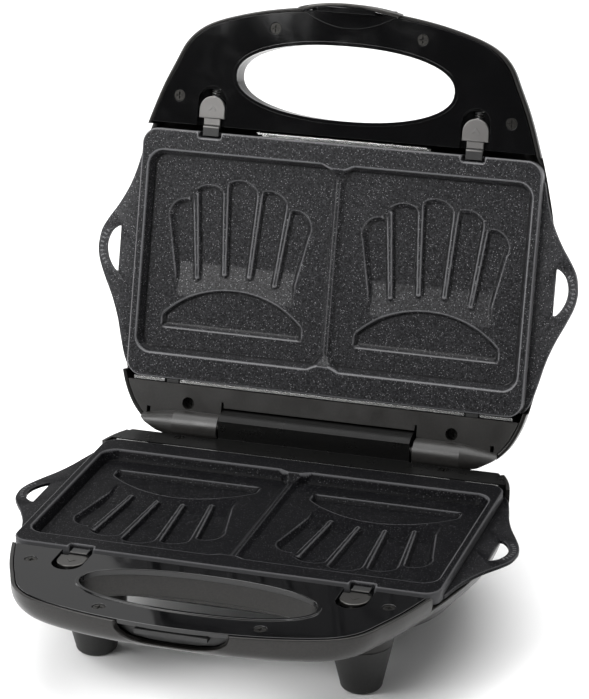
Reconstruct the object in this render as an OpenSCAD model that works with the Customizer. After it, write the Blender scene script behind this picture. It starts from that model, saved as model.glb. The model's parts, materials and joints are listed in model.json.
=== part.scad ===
// Two-slice sandwich toaster with a hinged lid, shown open.
// Each half is built in its own half frame: x across, d towards the handle
// (y = -d), h above the rim plane of that half's plate. The base half stands
// on four feet and the lid half is its mirror image, turned about the hinge.

/* [Lid] */
// Angle of the open lid from its closed position, degrees
lid_open = 106; // [90:1:110]
// Height of the hinge axis above the table
hinge_z = 64.5; // [62:0.5:68]
// Distance from the frame's origin back to the hinge axis
hinge_y = 80.9; // [60:0.1:100]

/* [Hot plates] */
// Width of a plate across its rim
plate_w = 230; // [220:1:232]
// Back edge of the plate rim, measured from the hinge axis
plate_d0 = 25; // [24:0.5:26]
// Front edge of the plate rim, measured from the hinge axis
plate_d1 = 165; // [160:0.5:166]
// Depth of the sandwich pockets
pocket_depth = 5.8; // [5:0.1:7]
// Depth of the relief figure below the pocket floor
figure_depth = 2; // [1.6:0.1:2.6]
// Space between the two plate rims when the lid is shut
rim_gap = 0.8; // [0.4:0.1:2]

/* [Handles] */
// Half length of the handle opening
grip_a = 62.5; // [55:0.5:64]
// Half width of the handle opening
grip_b = 20.5; // [17:0.5:21]
// Centre of the handle opening, measured from the hinge axis
grip_d = 198; // [196:0.5:199]

/* [Casings] */
// Wall thickness of the two outer casings
wall = 2.2; // [1.8:0.1:3]
// Depth of a casing from the rim plane at its belly
belly = 40; // [34:1:42]
// Depth of a casing at its handle
wing = 15.5; // [15:0.5:17]

/* [Hinge] */
// Radius of the lid's hinge barrels
barrel_r = 8; // [7:0.1:8.2]
// Radius of the hinge knuckle on the base
knuckle_r = 10.8; // [10:0.1:11]
// Radius of the hinge pins
pin_r = 3; // [2.5:0.1:3.5]
// Radial running clearance of the pins in the lid's barrels
pin_clear = 0.05; // [0.02:0.01:0.1]

/* [Latches and clip] */
// Distance of each plate latch from the middle
latch_x = 75.7; // [74:0.1:77]
// Travel of a plate latch
latch_travel = 4.5; // [3:0.1:4.6]
// Width of the closing clip
clip_w = 54; // [44:1:56]

/* [Feet] */
// Distance of the feet from the middle
foot_x = 72.5; // [66:0.5:80]
// Front feet, measured from the hinge axis
foot_d1 = 155; // [150:1:158]
// Back feet, measured from the hinge axis
foot_d0 = 32; // [30:1:40]

/* [Hidden] */
$fn = 48;
e = 0.01;

// rim planes measured from the hinge axis
base_rim = -2.3;
lid_rim = base_rim + rim_gap;
// face of the inner frames below the rim plane
face = -0.5;
seam = -0.9;
base_h = -base_rim;   // hinge axis in the base's half frame
lid_h = lid_rim;      // hinge axis in the lid's half frame
ear_top = -5;
ear_t = 2.2;
step_h = -7.9;        // casing edge under the ears
front_d = 168.6;      // back edge of the frames
rear_d = 22.6;        // front edge of the rear panels
mid_x = 56;           // end of the base knuckle
TAUPE = [0.35, 0.33, 0.31];
BLACK = [0.07, 0.07, 0.075];
PANEL = [0.23, 0.22, 0.21];
PLATE = [0.22, 0.22, 0.23];
BRIGHT = [0.8, 0.8, 0.8];
SILVER = [0.55, 0.54, 0.53];

// ---------- placing ----------
module in_base() { translate([0, hinge_y, hinge_z]) translate([0, 0, base_rim]) children(); }
module in_lid() {
    translate([0, hinge_y, hinge_z]) rotate([-lid_open, 0, 0])
        translate([0, 0, lid_rim]) mirror([0, 0, 1]) children();
}
module at(x, d, h) { translate([x, -d, h]) children(); }
module sides() { for (s = [-1, 1]) scale([s, 1, 1]) children(); }

// ---------- outline of the casings, seen from above ----------
half_pts = [[0, 239.5], [24, 238.3], [46, 235.2], [64, 231], [78, 226.3], [87, 221], [93.8, 213.6],
    [99, 203], [105.8, 188], [112.5, 169], [118, 150], [123, 127], [125.5, 96], [124, 62],
    [119.5, 37], [115, 19], [107, 5], [94, -4.5], [76, -8], [50, -8], [22, -8], [0, -8]];
HN = len(half_pts);
function hp(i) = i < 0 ? [-half_pts[-i][0], half_pts[-i][1]]
    : i >= HN ? [-half_pts[2 * HN - 2 - i][0], half_pts[2 * HN - 2 - i][1]] : half_pts[i];
function cr(a, b, c, d, t) = 0.5 * ((2 * b) + (c - a) * t + (2 * a - 5 * b + 4 * c - d) * t * t
    + (3 * b - a - 3 * c + d) * t * t * t);
SUB = 2;
right_line = [for (i = [0:HN - 2]) for (k = [0:SUB - 1]) cr(hp(i - 1), hp(i), hp(i + 1), hp(i + 2), k / SUB)];
M = len(right_line);
N = 2 * M;
loop_line = concat(right_line, [half_pts[HN - 1]],
    [for (i = [M - 1:-1:1]) [-right_line[i][0], right_line[i][1]]]);
function spine(p) = [0, max(45, min(195, p[1]))];
function inset_pt(p, s) = let (c = spine(p), r = norm(p - c)) p + (c - p) * s / r;
function inset_line(s) = [for (p = loop_line) inset_pt(p, s)];
function to_xy(l) = [for (p = l) [p[0], -p[1]]];
module outline(s) { polygon(to_xy(inset_line(s))); }

// ---------- casing loft ----------
function se(t, n = 2.4) = t >= 1 ? 1 : t <= 0 ? 0 : pow(1 - pow(1 - t, n), 1 / n);
function sm(t) = t <= 0 ? 0 : t >= 1 ? 1 : t * t * (3 - 2 * t);
function wing_h(d) = wing + 6 * sm((175 - d) / 90);
function shell_h(s, d) = -3.2 - (wing_h(d) - 3.2) * se(s / 12, 2.3)
    - (belly - wing_h(d)) * sm((185 - d) / 60) * se((s - 10) / 30, 1.6);
S_IN = [0, 0.25, 0.8, 1.8, 3.4, 5.8, 9, 12.5, 17, 23, 31, 40];
function ring_pt(p, k, off) =
    let (s = S_IN[k], q = inset_pt(p, s + off), h = shell_h(s, p[1] + (q[1] - p[1]) * 0.3))
    [q[0], -q[1], h + off];
function deep_pt(p, off) =
    let (q = inset_pt(p, 40 + off + (norm(p - spine(p)) - 40 - off) * 0.6), h = shell_h(50, q[1]))
    [q[0], -q[1], h + off];
function skin(off) = concat([for (k = [0:len(S_IN) - 1]) [for (p = loop_line) ring_pt(p, k, off)]],
    [[for (p = loop_line) deep_pt(p, off)]]);
module loft() {
    outer = concat([[for (p = loop_line) [p[0], -p[1], seam]]], skin(0));
    inner = concat([[for (p = loop_line) let (q = inset_pt(p, wall)) [q[0], -q[1], seam]]], skin(wall));
    R = len(outer);
    pts = concat([for (r = outer) each r], [for (r = inner) each r]);
    B = R * N;
    cap = concat([[0, 1, N - 1]], [for (i = [1:M - 2]) [i, i + 1, N - i - 1, N - i]], [[M - 1, M, M + 1]]);
    faces = concat(
        [for (r = [0:R - 2]) for (i = [0:N - 1]) let (j = (i + 1) % N)
            each [[r * N + i, (r + 1) * N + i, (r + 1) * N + j], [r * N + i, (r + 1) * N + j, r * N + j]]],
        [for (r = [0:R - 2]) for (i = [0:N - 1]) let (j = (i + 1) % N)
            each [[B + r * N + i, B + (r + 1) * N + j, B + (r + 1) * N + i], [B + r * N + i, B + r * N + j, B + (r + 1) * N + j]]],
        [for (i = [0:N - 1]) let (j = (i + 1) % N) each [[i, j, B + j], [i, B + j, B + i]]],
        [for (f = cap) [for (v = f) (R - 1) * N + v]],
        [for (f = cap) [for (k = [len(f) - 1:-1:0]) B + (R - 1) * N + f[k]]]);
    polyhedron(pts, faces, convexity = 10);
}

// ---------- handle opening ----------
function lens_pts(a, b, n = 56) = [for (i = [0:n - 1]) let (t = i * 360 / n, c = cos(t), s = sin(t))
    [a * sign(c) * pow(abs(c), 0.9), b * sign(s) * pow(abs(s), 0.9)]];
module lens(grow = 0) { translate([0, -grip_d]) polygon(lens_pts(grip_a + grow, grip_b + grow)); }

module casing() {
    difference() {
        union() {
            difference() {
                loft();
                translate([0, 0, -30]) linear_extrude(40) lens(1);
            }
            difference() {
                translate([0, 0, -wing + 0.3]) linear_extrude(wing - 3.7) lens(wall + 0.3);
                translate([0, 0, -30]) linear_extrude(40) lens(0.3);
            }
            // posts under the reflector
            sides() for (d = [60, 120]) at(85, d, -38.8) cylinder(r = 3.5, h = 15.2);
        }
        // lower edge where the plate ears reach over the sides
        sides() at(85, front_d - 1.6, step_h) cube([60, front_d - 1.6 - 27.5, 20]);
    }
}
// boss over a front foot, its top sloped to lie within the casing's wall
module pad() {
    difference() {
        at(foot_x, foot_d1, pad_z - hinge_z - base_rim) cylinder(r = 16.6, h = 20);
        at(foot_x - 30, foot_d1, -25.9) rotate([-28.1, 0, 0]) translate([0, -60, 0]) cube([60, 120, 40]);
    }
}

// ---------- closing clip outline, seen from the front ----------
module smile(w, top, side, mid) {
    polygon([[-w, top], [-w, side], [-w * 0.95, side + (mid - side) * 0.42], [-w * 0.72, side + (mid - side) * 0.84],
        [-w * 0.4, side + (mid - side) * 0.96], [0, mid], [w * 0.4, side + (mid - side) * 0.96],
        [w * 0.72, side + (mid - side) * 0.84], [w * 0.95, side + (mid - side) * 0.42], [w, side], [w, top]]);
}

// ---------- outer casings ----------
module base_shell() {
    color(TAUPE) in_base() difference() {
        union() {
            casing();
            sides() pad();
            sides() at(foot_x, foot_d0, -belly) cylinder(r = 15.6, h = 2.4);
        }
        // recess for the closing clip
        difference() {
            at(0, 228, 0) rotate([90, 0, 0]) linear_extrude(20) smile(30.3, 5, -1.7, -11);
            translate([0, 0, -20]) linear_extrude(30) outline(4.9);
        }
        // room for the lid's back wall as it opens, either side of the knuckle
        hinge_room();
        // knuckle passes through the back wall
        at(-mid_x + 0.2, 8.2, -9.5) cube([2 * mid_x - 0.4, 22, 20]);
        // foot screws and the cord's way out
        sides() { at(foot_x, foot_d1, -60) cylinder(r = 2.2, h = 60); at(foot_x, foot_d0, -60) cylinder(r = 2.2, h = 60); }
        at(-74, 0, -17) rotate([-90, 0, 0]) cylinder(r = 5.6, h = 20);
    }
}
// wedge behind the hinge that the lid's back wall turns into
module hinge_room() {
    at(0, 0, base_h) sides() {
        translate([mid_x - 0.2, 0, 0]) rotate([0, 90, 0]) cylinder(r = barrel_r + 0.9, h = 90);
        translate([mid_x - 0.2, -2.2, -barrel_r - 0.9]) rotate([90 - lid_open, 0, 0]) cube([90, 40, 30]);
    }
}
module lid_shell() {
    color(TAUPE) in_lid() difference() {
        union() {
            casing();
            // ends that hold the clip's pin
            sides() translate([0, 0, -11.8]) linear_extrude(5.8) intersection() {
                outline(3.2);
                translate([28.2, -240]) square([5, 10.5]);
            }
        }
        // notch over the knuckle and the barrels
        at(-mid_x - 1, 15, lid_h - 13) cube([2 * mid_x + 2, 40, 30]);
        sides() at(mid_x + 0.9, 9.2, lid_h - 8.6) cube([46, 30, 20]);
        // window for the closing clip
        at(-clip_w / 2 - 0.8, 245, -12.5) cube([clip_w + 1.6, 14.6, 20]);
        at(-31, clip_d, clip_h) rotate([0, 90, 0]) cylinder(r = 1.2, h = 62);
        // lamp lenses
        sides() at(14, 95, -60) cylinder(r = 5, h = 40);
    }
}

// ---------- inner frames ----------
function arch(w, d0, d1, n = 14) = concat([[-w, -d0], [w, -d0]],
    [for (i = [0:n]) let (t = i * 180 / n) [w * cos(t), -(d1 - w) - w * sin(t)]]);
module frame_common() {
    difference() {
        union() {
            translate([0, 0, face - 2.6]) linear_extrude(2.6) intersection() {
                outline(wall + 0.5);
                translate([-150, -260]) square([300, 260 - front_d]);
            }
            // apron along the plate
            at(-107.5, front_d + 1.8, -9) cube([215, 1.8, 6.5]);
            // raised lip round the handle opening
            translate([0, 0, face - 2.6]) linear_extrude(3.2) lens(2.0);
            // latch housings
            sides() translate([latch_x, 0, -10.4]) linear_extrude(9.6) polygon(arch(9.6, front_d, 192.2));
            // screw bosses
            for (p = [[95.3, 184], [42.1, 225.2]]) sides() at(p[0], p[1], -11) cylinder(r = 4.2, h = 9);
        }
        translate([0, 0, -30]) linear_extrude(40) lens(0);
        sides() translate([latch_x, 0, -4.4]) linear_extrude(10) polygon(arch(8.2, front_d - 3, 190.8));
        // track of the latch below its pad, open to the plate
        sides() at(latch_x - 3.4, 189.3, -9.4) cube([6.8, 189.3 - front_d - 2, 6]);
        for (p = [[95.3, 184], [42.1, 225.2]]) sides() {
            at(p[0], p[1], -12) cylinder(r = 1.5, h = 20);
            at(p[0], p[1], face - 1.7) cylinder(r = 3.3, h = 10);
        }
    }
}
module base_frame() { color(BLACK) in_base() frame_common(); }
module lid_frame() { color(BLACK) in_lid() frame_common(); }

// ---------- rear panels and hinge ----------
module rear_panel_plate(t = 2.4) {
    translate([0, 0, face - t]) linear_extrude(t) intersection() {
        outline(wall + 0.5);
        translate([-150, -rear_d]) square([300, 60]);
    }
}
module base_rear_panel() {
    color(PANEL) in_base() difference() {
        union() {
            difference() {
                rear_panel_plate();
                hinge_room();
            }
            // front skirt behind the plate
            at(-110, rear_d, -9) cube([220, 1.8, 6.8]);
            // knuckle
            intersection() {
                at(-mid_x + 0.5, 0, base_h) rotate([0, 90, 0]) cylinder(r = knuckle_r, h = 2 * mid_x - 1, $fn = 72);
                at(-mid_x + 0.5, 7.6, -9.4) cube([2 * mid_x - 1, 15.6, 30]);
            }
            at(-mid_x + 0.5, 7.6, -9.4) cube([2 * mid_x - 1, 15.6, 9]);
            sides() at(76.6, 12.6, -9) cylinder(r = 3.4, h = 7);
        }
        at(-mid_x, 0, base_h) rotate([0, 90, 0]) cylinder(r = pin_r, h = 16);
        at(mid_x - 16, 0, base_h) rotate([0, 90, 0]) cylinder(r = pin_r, h = 16);
        // wires pass up through the knuckle
        at(-12, 4, -12) cube([24, 8, 10]);
        sides() { at(76.6, 12.6, -12) cylinder(r = 1.3, h = 20); at(76.6, 12.6, face - 1.4) cylinder(r = 2.9, h = 8); }
    }
}
module lid_rear_panel() {
    color(PANEL) in_lid() difference() {
        union() {
            difference() {
                rear_panel_plate();
                at(-mid_x - 0.9, 15, -10) cube([2 * mid_x + 1.8, 40, 20]);
                sides() at(mid_x - 3, 8.4, -10) cube([48, 40, 20]);
            }
            at(-110, rear_d, -9) cube([220, 1.8, 6.8]);
            // barrels
            intersection() {
                sides() at(mid_x + 0.9, 0, lid_h) rotate([0, 90, 0]) {
                    cylinder(r = barrel_r, h = 26.5, $fn = 64);
                    translate([0, 0, 26.4]) cylinder(r1 = barrel_r, r2 = barrel_r - 3.6, h = 20, $fn = 64);
                }
                translate([0, 0, -20]) linear_extrude(40) outline(0.4);
            }
            sides() at(mid_x + 0.9, 8.4, face - 2.4) cube([42, 6, 2.3]);
            sides() at(76.6, 12.2, -12) cylinder(r = 4.6, h = 11);
        }
        sides() {
            at(mid_x, 0, lid_h) rotate([0, 90, 0]) cylinder(r = pin_r + pin_clear, h = 26);
            at(76.6, 12.2, -13) cylinder(r = 1.6, h = 20);
            at(76.6, 12.2, -8) cylinder(r = 3.5, h = 20);
        }
    }
}
module hinge_pins() {
    color(SILVER) translate([0, hinge_y, hinge_z]) sides() translate([mid_x - 16, 0, 0]) rotate([0, 90, 0]) cylinder(r = pin_r, h = 41.4);
}

// ---------- plates ----------
module rr(w, d, r) {
    translate([-w / 2, -d / 2 + r]) square([w, d - 2 * r]);
    translate([-w / 2 + r, -d / 2]) square([w - 2 * r, d]);
    for (x = [-1, 1]) for (y = [-1, 1]) translate([x * (w / 2 - r), y * (d / 2 - r)]) circle(r = r);
}
plate_mid = (plate_d0 + plate_d1) / 2;
fig_x = 56.5;         // middle of each relief figure
pock_x = 56.6;
pock_w = 106.8;
pock_d = 113.6;
// a soft cap of five lobes over a crescent band
module cap_figure() {
    for (c = [[-31.7, 117, 9.8], [-18.2, 123, 12.6], [-0.7, 127, 12.5], [16.8, 123, 12.2], [32.3, 116, 10]])
        translate([c[0], -c[1]]) circle(r = c[2]);
    polygon([[-41.4, -118], [-33.8, -84], [-33.8, -70], [34, -70], [34, -84], [42.2, -117], [20, -126], [-20, -126]]);
}
module band_figure() {
    intersection() {
        translate([0, -19]) circle(r = 58, $fn = 96);
        translate([-41, -80]) square([82, 27]);
    }
    for (s = [-1, 1]) translate([s * 37.5, -57]) circle(r = 4);
}
ear_pts = [[100, 160], [116, 153], [119, 141], [122.5, 131], [128, 120.5], [134, 111.5], [137.6, 105],
    [139, 98], [139, 93], [137.4, 86.5], [133.6, 78], [128.4, 67], [124.4, 56], [121.6, 45], [118.4, 34], [115, 28], [100, 27]];
ear_hole = [[126, 107.6], [127.6, 107.4], [131, 104.4], [133, 99.6], [133.4, 95], [132.4, 90], [130.2, 85.6], [127.6, 82.6], [126, 82.4]];
module plate() {
    difference() {
        union() {
            at(0, plate_mid, -3.2) linear_extrude(3.2) rr(plate_w, plate_d1 - plate_d0, 9);
            at(0, plate_mid, -7.2) linear_extrude(4.1) difference() {
                rr(plate_w, plate_d1 - plate_d0, 9);
                rr(plate_w - 6, plate_d1 - plate_d0 - 6, 6);
            }
            at(0, 96, -10.4) linear_extrude(7.3) rr(224, 120, 6);
            sides() translate([0, 0, ear_top - ear_t]) linear_extrude(ear_t) difference() {
                polygon(to_xy(ear_pts));
                polygon(to_xy(ear_hole));
                translate([60, -180]) square([52, 180]);
            }
        }
        sides() at(pock_x, 96, -pocket_depth) linear_extrude(20) rr(pock_w, pock_d, 8);
        // the ridge between the pockets lies below the rim
        at(-4, 146.5, -3.9) cube([8, 101, 10]);
        sides() translate([fig_x, 0, -pocket_depth - figure_depth]) linear_extrude(8) difference() {
            cap_figure();
            for (r = [[-29.6, 126, -23.2], [-9.4, 135, -7.2], [10.4, 135, 8.4], [28.6, 126, 24]])
                polygon([[r[0] - 2.2, -r[1] - 4], [r[0] + 2.2, -r[1] - 4], [r[2] + 1.2, -82], [r[2] - 1.2, -82]]);
        }
        sides() translate([fig_x, 0, -pocket_depth - figure_depth]) linear_extrude(8) band_figure();
        // notches for the plate latches
        sides() at(latch_x - 6.2, plate_d1 + 1, -2.6) cube([12.4, 4.2, 5]);
    }
    // feet that the back catches hold
    sides() at(87 - 3.3, plate_d0 + 0.6, -5.2) cube([6.6, 1.9, 2]);
}
module lower_plate() { color(PLATE) in_base() plate(); }
module upper_plate() { color(PLATE) in_lid() plate(); }

module catches() {
    sides() at(87 - 3.6, plate_d0 - 1.4, -8.6) {
        cube([7.2, 1, 7.4]);
        translate([0, -1.3, 5.6]) cube([7.2, 2.3, 1.8]);
    }
}
module lower_plate_catches() { color(BLACK) in_base() catches(); }
module upper_plate_catches() { color(BLACK) in_lid() catches(); }

// ---------- reflectors ----------
module reflector() {
    difference() {
        union() {
            at(0, 89, -23.6) linear_extrude(11.2) rr(208, 110, 10);
            at(0, 93.9, -12.8) linear_extrude(0.8) rr(206, 139.6, 10);
            at(-48.7, plate_d1 + 1.9, -12.8) cube([97.4, 10, 0.8]);
            // posts under the plate
            sides() { at(96, 147.5, -12.1) cylinder(r = 3, h = 1.7); at(96, 31, -12.1) cylinder(r = 2.3, h = 8.9); }
        }
        at(0, 89, -22.8) linear_extrude(20) rr(206.4, 108.4, 9);
        // legs of the heating element and the thermostat
        sides() at(20.2, 62, -30) cylinder(r = 4.4, h = 10);
        at(0, 95.5, -30) cylinder(r = 8, h = 10);
    }
    // upstanding edges seen along the plate
    at(-48.7, plate_d1 + 2.0, -12.4) cube([97.4, 0.8, 10]);
    at(-82.6, plate_d0 - 0.3, -12.4) cube([165.2, 1.5, 11.6]);
    sides() { at(91.6, plate_d0 - 0.3, -12.4) cube([9, 1.5, 11.6]); at(100.5, plate_d0 - 0.3, -8) cube([9.5, 1.5, 7.2]); }
}
module lower_reflector() { color(BRIGHT) in_base() reflector(); }
module upper_reflector() { color(BRIGHT) in_lid() reflector(); }

// ---------- heating elements ----------
EL_R = 3.2;
EL_H = -18.4;
module rod(x0, x1, d) { at(x0, d, EL_H) rotate([0, 90, 0]) cylinder(r = EL_R, h = x1 - x0, $fn = 24); }
module element() {
    rod(-64, 64, 128);
    rod(-64, -20.2, 62);
    rod(20.2, 64, 62);
    for (s = [-1, 1]) at(s * 64, 95, EL_H) rotate([0, 0, s > 0 ? -90 : 90]) rotate_extrude(angle = 180, $fn = 48) translate([33, 0]) circle(r = EL_R, $fn = 24);
    for (s = [-1, 1]) {
        at(s * 20.2, 62, EL_H - 6.2) cylinder(r = EL_R + 0.4, h = 10, $fn = 24);
        at(s * 20.2 - 0.4, 64.4, EL_H - 11.6) cube([0.8, 4.8, 6]);
    }
}
module brackets() {
    for (x = [-46, 46]) {
        at(x - 5, 133, -22.8) cube([10, 76, 0.8]);
        for (d = [62, 128]) difference() {
            at(x - 5, d + 4.6, -22.1) cube([10, 9.2, 3.6]);
            at(x - 6, d, EL_H) rotate([0, 90, 0]) cylinder(r = EL_R + e, h = 12, $fn = 24);
        }
    }
}
module lower_element() { color(SILVER) in_base() element(); }
module upper_element() { color(SILVER) in_lid() element(); }
module lower_element_brackets() { color(BRIGHT) in_base() brackets(); }
module upper_element_brackets() { color(BRIGHT) in_lid() brackets(); }

// ---------- electrics ----------
module thermostat() {
    at(0, 95.5, -24.8) cylinder(r = 8, h = 14.3);
    at(-10, 97.5, -29.8) cube([20, 4, 5]);
    sides() at(6.4, 96.5, -33.4) cube([0.8, 2, 4]);
}
module lower_thermostat() { color([0.75, 0.73, 0.68]) in_base() thermostat(); }
module upper_thermostat() { color([0.75, 0.73, 0.68]) in_lid() thermostat(); }
module thermal_fuse() {
    color([0.8, 0.78, 0.72]) in_base() {
        at(28, 75, -31) rotate([0, 90, 0]) cylinder(r = 2, h = 13);
        at(22, 75, -31) rotate([0, 90, 0]) cylinder(r = 0.6, h = 25);
    }
}
module terminal_block() {
    color([0.85, 0.84, 0.8]) in_base() difference() {
        at(-79, 26, -29) cube([26, 14, 11.5]);
        for (i = [0:2]) at(-74.5 + i * 8.5, 27, -23) rotate([-90, 0, 0]) cylinder(r = 1.7, h = 16);
        for (i = [0:2]) at(-74.5 + i * 8.5, 19, -21) cylinder(r = 1.5, h = 5);
    }
}
// round wire along straight legs that run a little into each other
module wire(p, r = 1.1) {
    for (i = [0:len(p) - 2]) {
        v = p[i + 1] - p[i];
        l = norm(v);
        a = i == 0 ? 0 : 0.5;
        b = i == len(p) - 2 ? 0 : 0.5;
        translate(p[i]) rotate([0, acos(v[2] / l), atan2(v[1], v[0])]) translate([0, 0, -a])
            cylinder(r = r + (i % 2) * 0.08, h = l + a + b, $fn = 16);
    }
}
module base_wiring() {
    color([0.7, 0.1, 0.08]) in_base() {
        wire([[-66, -26.2, -23], [-66, -30, -23.4], [-66, -31.6, -29], [-20.2, -50, -35], [-20.2, -62, -35], [-20.2, -62, -30.4]]);
        wire([[-57.5, -26.2, -23], [-56, -30, -23.4], [-52, -31.6, -29], [8, -40, -35], [12, -75, -34], [21.8, -75, -31]]);
        wire([[47.2, -75, -31], [50, -75, -33], [47, -58, -35], [20.2, -58, -35], [20.2, -62, -31.4]]);
    }
}
module lid_wiring() {
    color([0.7, 0.1, 0.08]) in_lid() {
        wire([[-20.2, -62, -30.6], [-20.2, -64, -35], [-7, -90.5, -36.2], [-6.8, -94.1, -32.8]]);
        wire([[20.2, -62, -30.6], [20.2, -64, -35], [7, -90.5, -36.2], [6.8, -94.1, -32.8]]);
    }
}
module cord_gland() {
    color(BLACK) in_base() at(-74, 0, -17) rotate([-90, 0, 0]) difference() {
        union() {
            translate([0, 0, 2.4]) cylinder(r = 5.5, h = 5.8);
            translate([0, 0, 8.1]) cylinder(r = 7.5, h = 2.2);
            translate([0, 0, -0.6]) cylinder(r = 5.5, h = 3.2);
        }
        translate([0, 0, -1]) cylinder(r = 3.2, h = 20);
    }
}
module lamp_holder() {
    color([0.85, 0.84, 0.8]) in_lid() difference() {
        union() {
            at(-22, 101, -33.5) cube([44, 12, 2]);
            sides() for (d = [92, 98]) at(19.6, d, -37.8) cylinder(r = 1.6, h = 4.4);
        }
        sides() at(14, 95, -40) cylinder(r = 2.8, h = 12);
        at(-9.5, 99.5, -40) cube([19, 9, 12]);
    }
}
module neon_lamps() { color([0.95, 0.6, 0.4]) in_lid() sides() { at(14, 95, -34.2) cylinder(r = 2.8, h = 6); at(14, 95, -34.2) sphere(r = 2.8); } }
module lens_cap() {
    rotate_extrude() polygon(concat([[0, 2.8], [0, -1.9]], [for (t = [10:10:50]) [8.2 * sin(t * 0.74), 6.3 - 8.2 * cos(t * 0.74)]], [[5, 0], [5, 2.8]]));
}
module power_lens() { color([0.8, 0.1, 0.08, 0.8]) in_lid() at(-14, 95, -40.1) lens_cap(); }
module ready_lens() { color([0.1, 0.6, 0.2, 0.8]) in_lid() at(14, 95, -40.1) lens_cap(); }

// ---------- fasteners ----------
module screw(r, h, sh, sr) {
    difference() {
        union() {
            translate([0, 0, -h]) cylinder(r = r, h = h);
            translate([0, 0, -h - sh]) cylinder(r = sr, h = sh + e);
        }
        for (a = [0, 90]) rotate([0, 0, a]) translate([-r * 0.6, -0.35, -0.9]) cube([r * 1.2, 0.7, 2]);
    }
}
module frame_screws() { for (p = [[95.3, 184], [42.1, 225.2]]) sides() at(p[0], p[1], face - 0.3) screw(3.1, 1.4, 7, 1.5); }
module base_frame_screws() { color(SILVER) in_base() frame_screws(); }
module lid_frame_screws() { color(SILVER) in_lid() frame_screws(); }
module base_rear_screws() { color(SILVER) in_base() sides() at(76.6, 12.6, face - 0.2) screw(2.7, 1.2, 6.5, 1.3); }
module lid_rear_screws() { color(SILVER) in_lid() sides() at(76.6, 12.2, -6.6) screw(3.3, 1.4, 5, 1.6); }
pad_z = 26;           // underside of the bosses over the front feet
module feet() {
    color([0.2, 0.2, 0.19]) translate([0, hinge_y, 0]) {
        sides() at(foot_x, foot_d1, 0) foot(pad_z);
        sides() at(foot_x, foot_d0, 0) foot(hinge_z + base_rim - belly);
    }
}
module foot(h) {
    rotate_extrude() polygon(concat([[4, 6], [4, 0.4], [5, 0], [8, 0]],
        [for (a = [-75:15:0]) [8 + 3 * cos(a), 3 + 3 * sin(a)]],
        [[11 + (h - 3) * 0.23, h], [2.2, h], [2.2, 6]]));
}
module foot_screws() {
    color(SILVER) translate([0, hinge_y, 0]) {
        sides() at(foot_x, foot_d1, 4.4) mirror([0, 0, 1]) screw(3.8, 1.6, 29, 2.15);
        sides() at(foot_x, foot_d0, 4.4) mirror([0, 0, 1]) screw(3.8, 1.6, 18.4, 2.15);
    }
}

// ---------- plate latches ----------
module latch() {
    // finger pad with a round outer end
    translate([0, 0, -3.6]) linear_extrude(2.4) polygon(arch(7.6, 172.6, 185.2));
    // neck that runs to the plate
    at(-4.9, 173, -3.9) cube([9.8, 5.8, 1.3]);
    at(-4.9, 168.2, -3.9) cube([9.8, 1.4, 2.2]);
    // tongue in the plate's notch
    at(-4.9, 168.3, -2.4) cube([9.8, 5.6, 1]);
    // stem in the track
    at(-2.8, 180, -9) cube([5.6, 6, 5.6]);
}
module base_latch_left() { color(SILVER) in_base() translate([-latch_x, 0, 0]) latch(); }
module base_latch_right() { color(SILVER) in_base() translate([latch_x, 0, 0]) latch(); }
module lid_latch_left() { color(SILVER) in_lid() translate([-latch_x, 0, 0]) latch(); }
module lid_latch_right() { color(SILVER) in_lid() translate([latch_x, 0, 0]) latch(); }
// compression spring between the pad and the end of its housing
module coil(turns, R, r, L, n = 10, m = 6) {
    S = turns * n;
    function c(i) = let (a = i * 360 / n) [R * cos(a), R * sin(a), L * i / S];
    pts = [for (i = [0:S]) let (a = i * 360 / n, p = c(i)) for (j = [0:m - 1]) let (b = j * 360 / m)
        p + [r * cos(b) * cos(a), r * cos(b) * sin(a), r * sin(b)]];
    faces = concat([[for (j = [m - 1:-1:0]) j]], [[for (j = [0:m - 1]) S * m + j]],
        [for (i = [0:S - 1]) for (j = [0:m - 1]) let (k = (j + 1) % m) each
            [[i * m + j, i * m + k, (i + 1) * m + k], [i * m + j, (i + 1) * m + k, (i + 1) * m + j]]]);
    polyhedron(pts, faces);
}
module latch_spring() { at(0, 180.37, -6.5) rotate([90, 0, 0]) coil(6, 2.2, 0.35, 8.56); }
module base_latch_spring_left() { color(BRIGHT) in_base() translate([-latch_x, 0, 0]) latch_spring(); }
module base_latch_spring_right() { color(BRIGHT) in_base() translate([latch_x, 0, 0]) latch_spring(); }
module lid_latch_spring_left() { color(BRIGHT) in_lid() translate([-latch_x, 0, 0]) latch_spring(); }
module lid_latch_spring_right() { color(BRIGHT) in_lid() translate([latch_x, 0, 0]) latch_spring(); }

// ---------- closing clip ----------
clip_d = 234;         // pivot, measured from the hinge axis
clip_h = -9;          // pivot above the lid's rim plane
module closing_clip() {
    color(BLACK) in_lid() difference() {
        union() {
            // curved tongue
            intersection() {
                translate([0, 0, -12]) linear_extrude(22) difference() {
                    translate([0, -7.5]) circle(r = 234.4, $fn = 360);
                    translate([0, -7.5]) circle(r = 231.4, $fn = 360);
                }
                at(0, 228, 0) rotate([90, 0, 0]) linear_extrude(20) smile(clip_w / 2, -12, 3.8, 9.6);
            }
            // hook
            at(-17, 239.2, 7.2) cube([34, 3.2, 2]);
            // eyes round the pin
            sides() at(18, clip_d, clip_h) rotate([0, 90, 0]) cylinder(r = 2.6, h = 6);
            sides() at(18, 240, clip_h - 1.4) cube([6, 6, 2.8]);
        }
        at(-40, clip_d, clip_h) rotate([0, 90, 0]) cylinder(r = 1.25, h = 80);
    }
}
module clip_pin() { color(SILVER) in_lid() at(-30.8, clip_d, clip_h) rotate([0, 90, 0]) cylinder(r = 1.2, h = 61.6); }
module clip_spring() { color(BRIGHT) in_lid() at(-5, clip_d, clip_h) rotate([0, 90, 0]) coil(6, 2.1, 0.35, 10); }
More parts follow.
